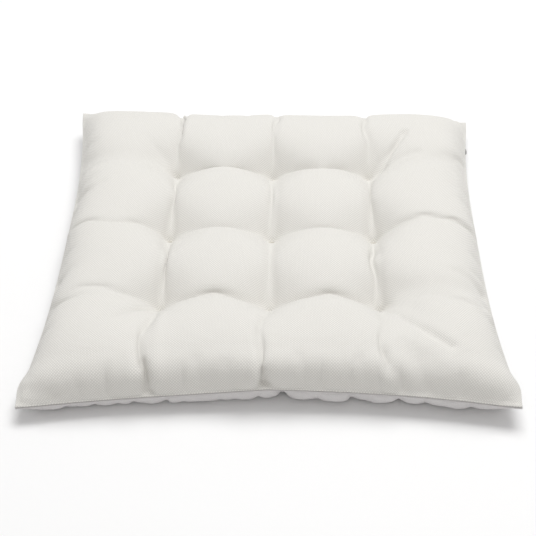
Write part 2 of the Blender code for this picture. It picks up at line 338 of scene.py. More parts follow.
def plain_weave(name, yarn_colour, gap_shade_colour, pitch, relief, sheen):
    """Cloth whose yarns go over and under each other one by one, with painted shade in the gaps between
    the yarns.
    """
    finish = Finish(name, sheen)
    width = 2 * pad().cut.half_width
    across, along = finish.place("Cloth", width)
    drift = finish.noise(across * DRIFT_GRAINS, along * DRIFT_GRAINS) - 0.5
    warp = across / pitch + drift * 1.6
    weft = along / pitch + drift * 1.2
    over = (warp.floor() + weft.floor()).odd()
    warp_round = warp.humps()
    weft_round = weft.humps()
    warp_slub = finish.noise(warp.floor() * SLUB_STEP, along * SLUB_GRAINS)
    weft_slub = finish.noise(across * SLUB_GRAINS, weft.floor() * SLUB_STEP, away=5.0)
    warp_yarn = over * warp_round**0.5 * weft_round**0.22 * (0.75 + 0.5 * warp_slub)
    weft_yarn = (1 - over) * weft_round**0.5 * warp_round**0.22 * (0.70 + 0.5 * weft_slub)
    height = warp_yarn + weft_yarn
    fuzz = finish.noise(across * FUZZ_GRAINS, along * FUZZ_GRAINS, 3.0)
    soft = finish.noise(across * SOFT_GRAINS, along * SOFT_GRAINS, 3.0, 9.0)
    # Where the yarns are low, in the gaps between them, painted shade in the gap colour takes over.
    crossed = finish.mix(height.between(0.0, 0.5), gap_shade_colour, yarn_colour)
    weft_colour = darker(yarn_colour, 0.80)
    toned = finish.mix(0.9 * (1 - over) + 0.1 * soft, crossed, weft_colour)
    finish.feed("Base Color", toned)
    finish.feed("Roughness", 0.78 + 0.2 * fuzz)
    finish.bump(height + 0.15 * fuzz, relief)
    return finish.material


def fleece(name, tone):
    """Loose polyester fibre."""
    strand_size, clump_size = 0.0007, 0.012
    finish = Finish(name, 0.3)
    strands = finish.solid_noise(strand_size, 6.0)
    clumps = finish.solid_noise(clump_size)
    finish.feed("Base Color", finish.mix(strands.between(0.35, 0.65), darker(tone, 0.75), tone))
    finish.feed("Roughness", 0.8 + 0.2 * strands)
    finish.bump(strands + 2 * clumps, 0.0006)
    return finish.material


def twisted_yarn(name, tone):
    """Two-ply thread, with painted shade in the grooves between its plies: the map runs along it in
    metres, and once round it.
    """
    finish = Finish(name, 0.1, 0.35)
    along, around = finish.place(THREAD_MAP, 1.0)
    ply = (along / (PLY_LAY / 2) + around).humps()
    fibre = finish.noise(along * 4000, around * 40, 3.0)
    # Painted shade: the grooves between the plies are painted darker.
    finish.feed("Base Color", finish.mix(ply * (0.7 + 0.3 * fibre), darker(tone, 0.6), tone))
    finish.feed("Roughness", 0.55 + 0.3 * fibre)
    finish.bump(ply + 0.2 * fibre, 0.00012)
    return finish.material


def ribbed_tape(name, tone):
    """Woven tape with fine ribs across it, and painted shade in the grooves between its ribs and yarns.
    """
    rib_pitch, yarn_pitch = 0.0005, 0.0004
    finish = Finish(name, 0.15, 0.3)
    across, along = finish.place(THREAD_MAP, 1.0)
    rib = (along / rib_pitch).humps()
    yarn = (across / yarn_pitch).humps()
    fibre = finish.noise(across * 5000, along * 5000, 3.0)
    # Painted shade: the grooves between ribs and yarns are painted darker.
    finish.feed("Base Color", finish.mix(rib * yarn, darker(tone, 0.5), tone))
    finish.feed("Roughness", 0.6 + 0.3 * fibre)
    finish.bump(rib * yarn + 0.2 * fibre, 0.00008)
    return finish.material


# Meshes.


def new_object(name, data):
    made = bpy.data.objects.new(name, data)
    bpy.context.scene.collection.objects.link(made)
    return made


def new_mesh(name, points, faces, material):
    mesh = bpy.data.meshes.new(name)
    mesh.from_pydata(np.asarray(points).tolist(), [], [list(map(int, face)) for face in faces])
    mesh.shade_smooth()
    if material:
        mesh.materials.append(material)
    return new_object(name, mesh)


def add_map(mesh, name, places):
    """Gives the mesh a map, from one place for each corner of each face."""
    layer = mesh.uv_layers.new(name=name)
    layer.data.foreach_set("uv", np.asarray(places, np.float32).ravel())


def thread_piece(name, paths, radius, around, material, node):
    """A piece of thread along the paths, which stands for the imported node."""
    points, faces, places = thread_mesh(paths, radius, around)
    made = new_mesh(name, points, faces, material)
    add_map(made.data, THREAD_MAP, places)
    return stand_in(made, "thread", node)


def blend(path, spots):
    """Points of a path at these fractional numbers, straight between its own points."""
    low = np.minimum(spots.astype(int), len(path) - 2)
    part = (spots - low)[:, None]
    return path[low] * (1 - part) + path[low + 1] * part


def smoothed(made):
    """Adds one subdivision."""
    divided = made.modifiers.new("Subdivision", "SUBSURF")
    divided.levels = 1
    divided.render_levels = 1
    return made


def stand_in(made, slot, *nodes):
    """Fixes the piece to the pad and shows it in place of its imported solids."""
    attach(made, BODY)
    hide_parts(*nodes)
    return made


def flat_square(name, half, height, material):
    """A level square round the middle."""
    corners = [(x * half, y * half, height) for x, y in ((-1, -1), (1, -1), (1, 1), (-1, 1))]
    return new_mesh(name, corners, [(0, 1, 2, 3)], material)


def quads(grid):
    """Faces between neighbouring points of a grid of point numbers."""
    corners = (grid[:-1, :-1], grid[:-1, 1:], grid[1:, 1:], grid[1:, :-1])
    return np.stack(corners, -1).reshape(-1, 4)


def rim_of(grid):
    """The grid's border, once round from its front left corner, against the clock."""
    return np.concatenate([grid[0, :-1], grid[:-1, -1], grid[-1, :0:-1], grid[:0:-1, 0]])


def ring_faces(first, second):
    """Faces between two rings of point numbers, from the first to the second."""
    return np.stack([first, np.roll(first, -1), np.roll(second, -1), second], -1)


def grid_normals(grid):
    """Unit normals of a grid of points, facing up where the grid is the right way up."""
    normals = np.cross(np.gradient(grid, axis=1), np.gradient(grid, axis=0))
    return normals / np.linalg.norm(normals, axis=-1, keepdims=True)


def thread_frames(path, closed):
    """For each point of a path: two directions square to it, which turn as little as they can."""
    if closed:
        ahead = np.roll(path, -1, 0) - np.roll(path, 1, 0)
    else:
        ahead = np.gradient(path, axis=0)
    ahead = ahead / np.linalg.norm(ahead, axis=1, keepdims=True)
    side = np.cross(ahead[0], (0.0, 0.0, 1.0))
    if np.linalg.norm(side) < 0.1:
        side = np.cross(ahead[0], (0.0, 1.0, 0.0))
    sides = []
    for direction in ahead:
        side = side - direction * np.dot(side, direction)
        side = side / np.linalg.norm(side)
        sides.append(side)
    sides = np.array(sides)
    return sides, np.cross(ahead, sides)


def thread_mesh(paths, radius, around, lobe=0.16):
    """Points, faces and map places of two-ply threads that follow the paths.

    Each path is (points, whether it is closed). A closed path's plies meet only roughly at its ends.
    """
    points = []
    faces = []
    places = []
    count = 0
    turn = np.arange(around) * 2 * math.pi / around
    for path, closed in paths:
        path = np.asarray(path, float)
        sides, ups = thread_frames(path, closed)
        run = np.concatenate([[0], np.cumsum(np.linalg.norm(np.diff(path, axis=0), axis=1))])
        plies = 1 + lobe * np.cos(2 * turn[None, :] - 2 * math.pi * run[:, None] / PLY_LAY)
        ring = radius * plies[..., None] * (
            np.cos(turn)[None, :, None] * sides[:, None] + np.sin(turn)[None, :, None] * ups[:, None]
        )
        points.append((path[:, None] + ring).reshape(-1, 3))
        numbers = count + np.arange(len(path) * around).reshape(len(path), around)
        count += numbers.size
        following = np.roll(numbers, -1, 0) if closed else numbers[1:]
        first = numbers if closed else numbers[:-1]
        for place, (near, far) in enumerate(zip(first, following)):
            start = run[place]
            end = run[place + 1] if place + 1 < len(run) else start + radius
            for step in range(around):
                after = (step + 1) % around
                faces.append((near[step], near[after], far[after], far[step]))
                low, high = step / around, (step + 1) / around
                places += [(start, low), (start, high), (end, high), (end, low)]
        if not closed:
            for cap, reach in ((numbers[0][::-1], run[0]), (numbers[-1], run[-1])):
                faces.append(tuple(cap))
                places += [(reach, step / around) for step in range(around)]
    return np.concatenate(points), faces, places


def rounded_path(corners, radius, steps=5):
    """A closed path through the corners, with each one rounded off."""
    corners = np.asarray(corners, float)
    path = []
    for place, corner in enumerate(corners):
        before = corners[place - 1] - corner
        after = corners[(place + 1) % len(corners)] - corner
        start = corner + before / np.linalg.norm(before) * radius
        end = corner + after / np.linalg.norm(after) * radius
        for share in np.linspace(0, 1, steps):
            path.append((1 - share) ** 2 * start + 2 * share * (1 - share) * corner + share**2 * end)
    return np.array(path)


# The simulated cover.

# Folds pressed into the flat top before it is stuffed: a line's u, v, u, v and so on in hundredths, then
# in millimetres the depth at its two ends and its half width. A depth below 0 is a ridge, which keeps a
# crease away.
FOLDS = (
    ((-50, -50, -55, -80, -50, -100), 1, 4.5, 6),
    ((0, -50, -3, -75, -1, -100), 1, 4.5, 5),
    ((50, -50, 60, -66, 63, -90), 1.5, 1, 6),
    ((50, -50, 66, -53, 80, -64), 1.5, 2.5, 5),
    ((-50, -50, -72, -56, -95, -53), 1.5, 1.5, 6),
    ((-50, 0, -72, -2, -95, 0), 1.5, 1.5, 6),
    ((50, 0, 72, 4, 95, -1), 1.5, 3, 6),
    ((50, 50, 60, 80), 1.5, 2.5, 5),
    ((50, 50, 70, 62), 1, 1, 5),
    ((-50, 50, -51, 80, -52, 100), 1, 4.5, 6),
    ((0, 50, 2, 100), 1, 3, 5),
    ((50, 50, 49, 75, 51, 100), 1, 3.5, 5),
    ((50, -50, 100, -42), -2, -4, 18),
    ((-50, 50, -100, 55), -2, -4, 20),
    ((50, 50, 100, 52), -1, -2, 14),
)
# Where the stuffed top is eased smooth again: lines, the share at their two ends, and half width.
EASED = (
    ((-58, 50, -100, 55), 0.9, 1.0, 20),
    ((62, 52, 100, 52), 0.7, 1.0, 18),
    ((60, -48, 100, -45), 0.9, 1.0, 16),
    ((58, -60, 66, -100), 0.9, 1.0, 22),
)
# How far the crease between two tufts strays from a straight line, in hundredths, for each pair of
# tufts from front left to back right: those that run across, then those that run towards the back.
STRAYS_ACROSS = (1.2, 1.6, -0.6, 1, 1.4, -0.4)
STRAYS_BACK = (-2, 0.6, 0.4, 2.2, 1.8, -1.4)
# Folds pressed into the stuffed top, in the same way.
PRESSED = (
    ((-53, -80, -50, -98), 0.6, 3, 5.5),
    ((-52.5, -88.5, -50.5, -93), 3, 2.6, 6.5),
    ((-59, -83, -58, -92), -1.6, -1.2, 6),
    ((-46, -66, -46, -94), -1, -1.6, 5.5),
    ((-5, -78, -2, -98), 0.6, 3.6, 4.5),
    ((0, -85, 1, -97), 1, 2.2, 7),
    ((-8, -80, -5, -96), -0.4, -1.4, 4.5),
    ((52, -57, 61, -69, 74, -80), 1.6, 3.4, 3.8),
    ((58, -76, 72, -86), -1, -0.8, 7),
    ((-90, -93, -86, -97), 1.2, 1, 7),
    ((-30, -88, -28, -97), 1.4, 1, 6),
    ((-17, -90, -16, -97), 1.2, 0.8, 6),
    ((14, -88, 17, -97), 1.4, 1, 6),
    ((38, -88, 42, -97), 1.8, 1, 6),
    ((50, -86, 57, -97), 2, 1, 6),
    ((62, -87, 66, -97), 1.2, 1, 6),
    ((78, -92, 80, -97), 1.2, 0.8, 7),
    ((-48, 68, -50.5, 96), 1, 4.2, 3.6),
    ((-48, 70, -45.5, 96), 0.8, 4, 3.2),
    ((1, 60, 3, 80, 5, 98), 0.6, 1.8, 6),
    ((50, 60, 47, 80, 46, 98), 0.6, 2.2, 6),
    ((53, 43, 58, 54, 66, 70), 2.2, 4, 3.6),
    ((89, 96, 98, 85), 2.4, 2.4, 3.6),
    ((55, 50, 72, 56), 1.2, 1.8, 5),
    ((-66, -1, -82, 0), 0.8, 0.4, 6),
    ((-82, 28, -97, 24), 1, 3, 5.5),
    ((-86, 36, -97, 33), 0.6, 2, 5),
    ((-66, -54, -82, -54), 0.8, 0.4, 6),
    ((-88, -33, -97, -36), 1, 2.5, 5.5),
    ((80, -36, 96, -42), 1, 3, 5.5),
    ((74, 2, 96, -2), 1, 3, 5.5),
)
# Notches where the base tucks in and up under the seam, in the same way.
TUCKED = (
    ((6, -90, 6, -99.5), 6, 6, 5),
    ((-43, -92, -43, -99), 3, 3, 4),
    ((36, -92, 36, -99), 2, 2, 4.5),
    ((56, -92, 56, -99), 2, 2, 4),
    ((-5, -92, -5, -99), 1.5, 1.5, 4),
    ((-98, 20, -92, 20), 4, 4, 5),
    ((98, -15, 92, -15), 4, 4, 5),
    ((25, 92, 25, 98), 4, 4, 5),
    ((-40, 92, -40, 98), 3, 3, 5),
)
MM_PER_METRE = 1000
# Ripples in the flat top: how many, their seed, their spread in radians for each metre, and about what
# they add up to.
RIPPLES, RIPPLE_SEED, RIPPLE_SPREAD, RIPPLE_SUM = 60, 7, 45, 5
# How the flat panels lie before they are stuffed.
START_HEIGHT = 0.9  # as a share of the seam's height
START_GAP = 0.0005  # half of the gap between them
FLOOR_GAP = 0.001  # how close cloth comes to the simulated floor
# Rounds of easing for the whole cover, for the eased lines of the top, and for the base.
LIGHT_ROUNDS, TOP_ROUNDS, BASE_ROUNDS = 2, 60, 40
# Shares of the way from the rim to the middle.
FOLD_FADE = 0.02  # over which a fold fades in
BASE_RIM = 0.06  # within which the base isn't eased
BELLY_BAND = 0.16  # that the base's belly takes up
FRONT_BAND = 0.18  # that the front's fullness takes up
TUCK_RISE = 0.6  # how far a notch goes up, as a share of how far it goes in
SAG_LEAN = 0.4  # how far the front seam leans out where it sags, as a share of the sag


def flat_side(share):
    """Metres from the middle of a flat panel to a share of the way across it."""
    cut = pad().cut
    far = np.abs(share)
    inside = 2 * cut.tuft_pitch * far
    outside = cut.tuft_pitch + 2 * (cut.half_width - cut.tuft_pitch) * (far - 0.5)
    return np.sign(share) * np.where(far < 0.5, inside, outside)


def inside_rim(u, v):
    """The share of the way from the rim to the middle, at each (u, v)."""
    return 1 - np.maximum(np.abs(u), np.abs(v))


def line_strength(u, v, line, start, end, width):
    """A value that goes from `start` to `end` along a line and fades beside it, at each (u, v)."""
    along_x, along_y = flat_side(u), flat_side(v)
    numbers = [float(flat_side(number / 100)) for number in line]
    corners = list(zip(numbers[::2], numbers[1::2]))
    lengths = [math.dist(*pair) for pair in zip(corners, corners[1:])]
    nearest = np.full(u.shape, 9.0)
    strength = np.zeros(u.shape)
    run = 0
    for (x, y), (next_x, next_y), part in zip(corners, corners[1:], lengths):
        step_x, step_y = next_x - x, next_y - y
        share = ((along_x - x) * step_x + (along_y - y) * step_y) / part**2
        share = np.clip(share, 0, 1)
        away = np.hypot(along_x - x - share * step_x, along_y - y - share * step_y)
        here = start + (end - start) * (run + share * part) / sum(lengths)
        strength = np.where(away < nearest, here, strength)
        nearest = np.minimum(away, nearest)
        run += part
    return strength * np.exp(-((nearest / (width / MM_PER_METRE)) ** 2))


def fold_depth(u, v, folds):
    """The depth in metres of these folds together, at each (u, v)."""
    faded = np.clip(inside_rim(u, v) / FOLD_FADE, 0, 1)
    return sum(line_strength(u, v, *fold) for fold in folds) / MM_PER_METRE * faded


def eased(grid, rounds):
    """The grid with its small wrinkles averaged away, except at its rim and its tufts."""
    soft = grid.copy()
    cells = len(grid) - 1
    tufts = [place * cells // 4 for place in ROWS]
    for _ in range(rounds):
        beside = soft[:-2, 1:-1] + soft[2:, 1:-1] + soft[1:-1, :-2] + soft[1:-1, 2:]
        soft[1:-1, 1:-1] = soft[1:-1, 1:-1] / 2 + beside / 8
        for row in tufts:
            soft[row, tufts] = grid[row, tufts]
    return soft


def finer(grid):
    """The grid with a point more between each two, on the curve through their neighbours."""
    for _ in range(2):
        ends = 2 * grid[:1] - grid[1:2], 2 * grid[-1:] - grid[-2:-1]
        longer = np.concatenate([ends[0], grid, ends[1]])
        between = (9 * (longer[1:-2] + longer[2:-1]) - longer[:-3] - longer[3:]) / 16
        fine = np.repeat(grid, 2, 0)[:-1]
        fine[1::2] = between
        grid = fine.swapaxes(0, 1)
    return grid


def quilt_creases():
    """The creases between tufts, as folds. One towards the back is a dip with a low ridge in it."""
    spots = (-50, 0, 50)
    creases = []
    for place, stray in enumerate(STRAYS_ACROSS):
        v, u = spots[place // 2], spots[place % 2]
        creases.append(((u, v, u + 25, v + stray, u + 50, v), -0.3, -0.3, 4.5))
    for place, stray in enumerate(STRAYS_BACK):
        u, v = spots[place // 2], spots[place % 2]
        line = (u, v + 2, u + stray, v + 25, u, v + 48)
        creases += [(line, 1.6, 1.6, 8.5), (line, -1.2, -1.2, 3)]
    return creases


def settled(u, v, top, bottom):
    """The stuffed panels after the wadding has taken up their small wrinkles, with their own folds."""
    cut = pad().cut
    top = eased(top, LIGHT_ROUNDS)
    calm = np.minimum(sum(line_strength(u, v, *line) for line in EASED), 1)[..., None]
    top = top + (eased(top, TOP_ROUNDS) - top) * calm
    bottom = eased(bottom, LIGHT_ROUNDS)
    inside = np.clip(inside_rim(u, v) / (2 * BASE_RIM) - 0.5, 0, 1)[..., None]
    bottom = bottom + (eased(bottom, BASE_ROUNDS) - bottom) * inside
    u, v, top, bottom = finer(u), finer(v), finer(top), finer(bottom)
    pressed = fold_depth(u, v, (*PRESSED, *quilt_creases()))
    fullness = np.sin(np.pi * np.clip((1 + v) / FRONT_BAND, 0, 1)) ** 2 * cut.front_fullness
    top = top + grid_normals(top) * (fullness - pressed)[..., None]
    belly = np.sin(np.pi * np.clip(inside_rim(u, v) / BELLY_BAND, 0, 1)) * cut.base_bulge / HALF
    tucked = fold_depth(u, v, TUCKED)
    bottom = bottom * (1 + (belly - tucked / HALF)[..., None] * (1, 1, 0))
    bottom[..., 2] = np.maximum(bottom[..., 2] + TUCK_RISE * tucked, cut.cloth_thickness / 2)
    return u, v, top, bottom


def sewn_outline(u, v):
    """Where the places (u, v) of the rim end up: drawn in along the sides, with lively corners."""
    cut = pad().cut
    corner_share = np.abs(u * v)
    scale = HALF - DRAW_IN * (1 - corner_share**3)
    last_tenth = np.clip(10 * corner_share - 9, 0, 1)
    scale = scale - cut.corner_round * last_tenth**2
    right, back = (u + 1) / 2, (v + 1) / 2
    lift = (1 - back) * ((1 - right) * cut.front_left + right * cut.front_right)
    lift = lift + back * ((1 - right) * cut.back_left + right * cut.back_right)
    height = SEAM_HEIGHT + lift * corner_share**1.5 + cut.side_rise * (1 - corner_share)
    at_front = np.isclose(v, -1)
    drawn_back = np.where(at_front, cut.side_rise * (1 - corner_share), 0)
    sag = np.where(at_front, np.sin(math.pi * np.clip(-u, 0, 1)), 0)
    height = height - cut.front_sag * sag
    drawn_back = drawn_back - SAG_LEAN * cut.front_sag * sag
    return np.stack([u * scale, v * scale + drawn_back, height], -1)


def simulated(flat, sewn, faces, held):
    """The cloth's points after it is pulled from `flat` to `sewn` and blown up, with some points held."""
    stuffing = pad().stuffing
    cover = new_mesh("cover_simulation", flat, faces, None)
    cover.shape_key_add(name="Flat")
    pulled = cover.shape_key_add(name="Sewn")
    pulled.data.foreach_set("co", sewn.astype(np.float32).ravel())
    for value, time in ((0, 1), (1, stuffing.frames // 3)):
        pulled.value = value
        pulled.keyframe_insert("value", frame=time)
    cover.vertex_groups.new(name="Held").add(held, 1.0, "REPLACE")
    floor = flat_square("floor_simulation", 1, -FLOOR_GAP, None)
    floor.modifiers.new("Collision", "COLLISION")
    floor.collision.thickness_outer = FLOOR_GAP
    floor.collision.cloth_friction = stuffing.friction
    cloth = cover.modifiers.new("Cloth", "CLOTH")
    cloth.point_cache.frame_start = 1
    cloth.point_cache.frame_end = stuffing.frames
    cloth.collision_settings.distance_min = FLOOR_GAP
    cloth.collision_settings.friction = stuffing.friction
    settings = cloth.settings
    settings.quality = 6
    settings.mass = stuffing.point_mass
    settings.air_damping = stuffing.drag
    settings.bending_stiffness = stuffing.bend
    settings.bending_damping = stuffing.damping / 10
    stiffness = {"tension": stuffing.stretch, "compression": stuffing.crush, "shear": stuffing.shear}
    for way, stiff in stiffness.items():
        setattr(settings, f"{way}_stiffness", stiff)
        setattr(settings, f"{way}_damping", stuffing.damping)
    settings.vertex_group_mass = "Held"
    settings.effector_weights.gravity = 0
    settings.use_pressure = True
    for strength, time in ((0.02, 1), (1.0, stuffing.frames // 2 - 3)):
        settings.uniform_pressure_force = strength * stuffing.pressure
        settings.keyframe_insert("uniform_pressure_force", frame=time)
    for time in range(1, stuffing.frames + 1):
        bpy.context.scene.frame_set(time)
    result = cover.evaluated_get(bpy.context.evaluated_depsgraph_get()).data
    points = np.empty(len(result.vertices) * 3, np.float32)
    result.vertices.foreach_get("co", points)
    bpy.context.scene.frame_set(1)
    for used in (cover, floor):
        bpy.data.objects.remove(used)
    for action in list(bpy.data.actions):
        bpy.data.actions.remove(action)
    return points.reshape(-1, 3).astype(float)


def stuff_cover():
    """Sews, stuffs and tufts the cover. Gives u and v, and each panel's grid of points."""
    stuffing = pad().stuffing
    steps = stuffing.cells + 1
    share = np.linspace(-1, 1, steps)
    u, v = np.meshgrid(share, share)
    top = np.arange(steps * steps).reshape(steps, steps)
    bottom = top.copy()
    bottom[1:-1, 1:-1] = steps * steps + np.arange((steps - 2) ** 2).reshape(steps - 2, steps - 2)
    faces = np.concatenate([quads(top), quads(bottom)[:, ::-1]])
    flat_x, flat_y = flat_side(u), flat_side(v)
    random = np.random.default_rng(RIPPLE_SEED)
    ripple = np.zeros(u.shape)
    for _ in range(RIPPLES):
        turn_x, turn_y = random.normal(0, RIPPLE_SPREAD, 2)
        ripple += np.sin(flat_x * turn_x + flat_y * turn_y + random.uniform(0, 2 * math.pi))
    relief = stuffing.unevenness * ripple / RIPPLE_SUM - fold_depth(u, v, FOLDS)
    inner = inside_rim(u, v) > 0
    level = np.where(inner, START_GAP, 0)
    height = START_HEIGHT * SEAM_HEIGHT
    flat = np.zeros((bottom.max() + 1, 3))
    flat[bottom] = np.stack([flat_x, flat_y, height - level], -1)
    flat[top] = np.stack([flat_x, flat_y, height + level + relief * inner], -1)
    sewn = flat.copy()
    rim = rim_of(top)
    sewn[rim] = sewn_outline(rim_of(u), rim_of(v))
    held = [int(number) for number in rim]
    for (row, column), (low, high) in TUFTS.items():
        here = (row * stuffing.cells // 4, column * stuffing.cells // 4)
        spot = middle((low, high))
        sewn[top[here]] = (spot.x, spot.y, high.z - TUFT_STITCH_DEPTH)
        sewn[bottom[here]] = (spot.x, spot.y, low.z + TUFT_STITCH_DEPTH)
        held += [int(top[here]), int(bottom[here])]
    points = simulated(flat, sewn, faces, held)
    height = np.maximum(points[:, 2], pad().cut.cloth_thickness / 2)
    over = np.maximum(height - stuffing.flat_from, 0) / stuffing.flat_within
    points[:, 2] = height - stuffing.flat_within * (over - 1 + np.exp(-over))
    return settled(u, v, points[top], points[bottom])


def cloth_panel(name, grid, facing, material):
    """A panel with its edge turned in: a closed shell. `facing` is 1 for the top and -1 for the base."""
    cut = pad().cut
    thick = cut.cloth_thickness
    u, v = SHAPE["u"], SHAPE["v"]
    normals = facing * grid_normals(grid)
    outer = grid + normals * thick / 2
    inner = grid - normals * thick / 2
    fold = 2 * thick
    rim = rim_of(grid)
    out = rim * (1, 1, 0)
    out = out / np.maximum(np.abs(out[:, :1]), np.abs(out[:, 1:2]))
    up = np.array((0, 0, facing))

    def loop(outward, upward):
        return rim + out * outward + up * upward

    half_gap = cut.seam_gap / 2
    turned_in = -cut.seam_allowance
    border = np.s_[[0, -1], :], np.s_[:, [0, -1]]
    for edge in border:
        outer[edge] = grid[edge] + up * (half_gap + fold)
        inner[edge] = grid[edge] + up * (half_gap + fold - thick)
    # Round the folded edge, in along the turned-in cloth, and back over it.
    loops = [
        loop(0.0004, half_gap + 0.8 * fold),
        loop(0.0007, half_gap + 0.45 * fold),
        loop(0.0003, half_gap + 0.08 * fold),
        loop(-0.0012, half_gap),
        loop(turned_in, 0.4 * half_gap),
        loop(turned_in, 0.4 * half_gap + thick),
        loop(-0.0016, half_gap + thick),
    ]
    # How far past the seam the first five of them lie on the flat cloth.
    reach = (0.0006, 0.0012, 0.0020, 0.0035, 0.0035 + cut.seam_allowance)
    steps = len(grid)
    outer_numbers = np.arange(steps * steps).reshape(steps, steps)
    inner_numbers = outer_numbers + steps * steps
    start = 2 * steps * steps
    rings = [rim_of(outer_numbers)]
    rings += [start + place * len(rim) + np.arange(len(rim)) for place in range(len(loops))]
    rings += [rim_of(inner_numbers)]
    shown = [quads(outer_numbers)]
    shown += [ring_faces(second, first) for first, second in zip(rings[:6], rings[1:6])]
    hidden = [ring_faces(second, first) for first, second in zip(rings[5:], rings[6:])]
    hidden += [quads(inner_numbers)[:, ::-1]]
    shown, hidden = np.concatenate(shown), np.concatenate(hidden)
    points = np.concatenate([outer.reshape(-1, 3), inner.reshape(-1, 3), *loops])
    flat = np.stack([flat_side(u), flat_side(v)], -1)
    flat_rim = rim_of(flat)
    past = flat_rim / cut.half_width
    rings_flat = [flat_rim + past * far for far in reach]
    back_flat = [flat_rim + past * far for far in (reach[-1], reach[-1], 0.001)]
    flat_shown = np.concatenate([flat.reshape(-1, 2)] * 2 + rings_flat + [flat_rim, flat_rim])
    flat_hidden = np.concatenate([flat.reshape(-1, 2)] * 2 + [flat_rim] * 4 + back_flat)
    faces = np.concatenate([shown, hidden])
    if facing < 0:
        faces = faces[:, ::-1]
        shown, hidden = shown[:, ::-1], hidden[:, ::-1]
    made = new_mesh(name, points, faces, material)
    corners = np.concatenate([flat_shown[shown], flat_hidden[hidden]])
    add_map(made.data, "Cloth", corners / (2 * cut.half_width) + 0.5)
    span = 2 * (cut.half_width + reach[-1])
    # The baking map has a large square for what shows, and a small one for the rest.
    squares = ((flat_shown[shown], 0.01, 0.74), (flat_hidden[hidden], 0.77, 0.22))
    places = [start + size * (spots / span + 0.5) for spots, start, size in squares]
    add_map(made.data, "OFBake", np.concatenate(places))
    return made


# How the filling follows the cover.
FILLING_CLEAR = 2.5  # how far it stays inside, in thicknesses of cloth
FILLING_INSET = 8  # how many points of the cover it leaves out along the rim
FILLING_STEP = 4  # it takes one point in this many
HOLE_SHARE = 0.3  # size of a tuft's hole, as a share of the step


def highest_near(height, reach):
    """The greatest height within `reach` points of each place, along and across the grid."""
    for axis in (0, 1):
        moved = [np.roll(height, step, axis) for step in range(-reach, reach + 1)]
        height = np.max(moved, axis=0)
    return height


def filling_layer(name, low_share, high_share, material):
    """A layer of filling between two shares of the height inside the cover, with a hole at each tuft."""
    top, bottom = SHAPE["top"], SHAPE["bottom"]
    clear = FILLING_CLEAR * pad().cut.cloth_thickness
    ceiling = top - clear * grid_normals(top)
    ceiling[..., 2] = -highest_near(-ceiling[..., 2], FILLING_STEP)
    ground = bottom + clear * grid_normals(bottom)
    ground[..., 2] = highest_near(ground[..., 2], FILLING_STEP)
    used = np.s_[FILLING_INSET:-FILLING_INSET:FILLING_STEP]
    ceiling, ground = ceiling[used, used], ground[used, used]
    lower = ground + (ceiling - ground) * low_share
    upper = ground + (ceiling - ground) * high_share
    steps = len(upper)
    spots = [(place * (len(top) - 1) // 4 - FILLING_INSET) // FILLING_STEP for place in ROWS]
    above = np.arange(steps * steps).reshape(steps, steps)
    below = above + steps * steps
    shown = np.ones((steps - 1, steps - 1), bool)
    kept = np.ones(2 * steps * steps, bool)
    walls = [ring_faces(rim_of(below), rim_of(above))]
    for row, column in itertools.product(spots, spots):
        hole = np.s_[row - 1 : row + 2, column - 1 : column + 2]
        for grid in (lower, upper):
            grid[hole] = grid[row, column] + HOLE_SHARE * (grid[hole] - grid[row, column])
        shown[row - 1 : row + 1, column - 1 : column + 1] = False
        walls.append(ring_faces(rim_of(above[hole]), rim_of(below[hole])))
        kept[[above[row, column], below[row, column]]] = False
    shown = shown.ravel()
    faces = np.concatenate([quads(above)[shown], quads(below)[shown][:, ::-1], *walls])
    renumbered = np.cumsum(kept) - 1
    points = np.concatenate([upper.reshape(-1, 3), lower.reshape(-1, 3)])[kept]
    return smoothed(new_mesh(name, points, renumbered[faces], material))


# Operators.


class SewCover(bpy.types.Operator):
    """Stuffs and tufts the cloth cover, and gives its two panels their turned-in edges"""

    bl_idname = "seat_pad.sew_cover"
    bl_label = "Sew Cover"

    def execute(self, context):
        fabric = pad().fabric
        SHAPE["u"], SHAPE["v"], SHAPE["top"], SHAPE["bottom"] = stuff_cover()
        top_weave = plain_weave(
            "top_basket_cloth", fabric.top_colour, fabric.gap_shade_colour, fabric.yarn, 0.00022, 0.15
        )
        # The base cloth's gaps between its yarns get painted shade, at 0.7 of its colour.
        base_weave = plain_weave(
            "base_fine_cloth", fabric.base_colour, darker(fabric.base_colour, 0.7),
            fabric.fine_yarn, 0.00008, 0.1,
        )
        top = cloth_panel("top_cover", SHAPE["top"], 1, top_weave)
        base = cloth_panel("base_cover", SHAPE["bottom"], -1, base_weave)
        stand_in(top, "cover_fabric", "top_panel")
        stand_in(base, "base_fabric", "bottom_panel")
        return {"FINISHED"}


class LayFilling(bpy.types.Operator):
    """Fills the cover with a fibre core between two layers of wadding"""

    bl_idname = "seat_pad.lay_filling"
    bl_label = "Lay Filling"

    def execute(self, context):
        tone = pad().fabric.filling_colour
        loose = fleece("loose_core_fibre", tone)
        sheet = fleece("wadding_sheet", darker(tone, 0.96))
        layers = (
            ("upper_fleece", 0.86, 1.0, sheet, "wadding", "upper_wadding"),
            ("fibre_filling", 0.15, 0.85, loose, "core_fibre", "fibre_core"),
            ("lower_fleece", 0.0, 0.14, sheet, "wadding", "lower_wadding"),
        )
        for name, low, high, material, slot, node in layers:
            layer = filling_layer(name, low, high, material)
            stand_in(layer, slot, node)
        return {"FINISHED"}


BACK_MIDDLE = 5 / 8  # the share of the way round at which the middle of the back comes
SEAM_STEPS = 4  # points for each machine stitch
SEAM_WAVE = 0.0002  # how far the machine stitches go up and down
LADDER_RISE = 0.0009  # how far the hand stitches go over and under the seam
LADDER_OUT = (0.0001, 0.0006)  # how far their two ends stand out
TUFT_SEED = 3
STRAND_LIFT = 0.0006  # from the cloth to the middle of a strand
STRAND_STRAY = 0.0006  # how far a strand's ends stray to the side
KNOT_RADIUS = 0.0011


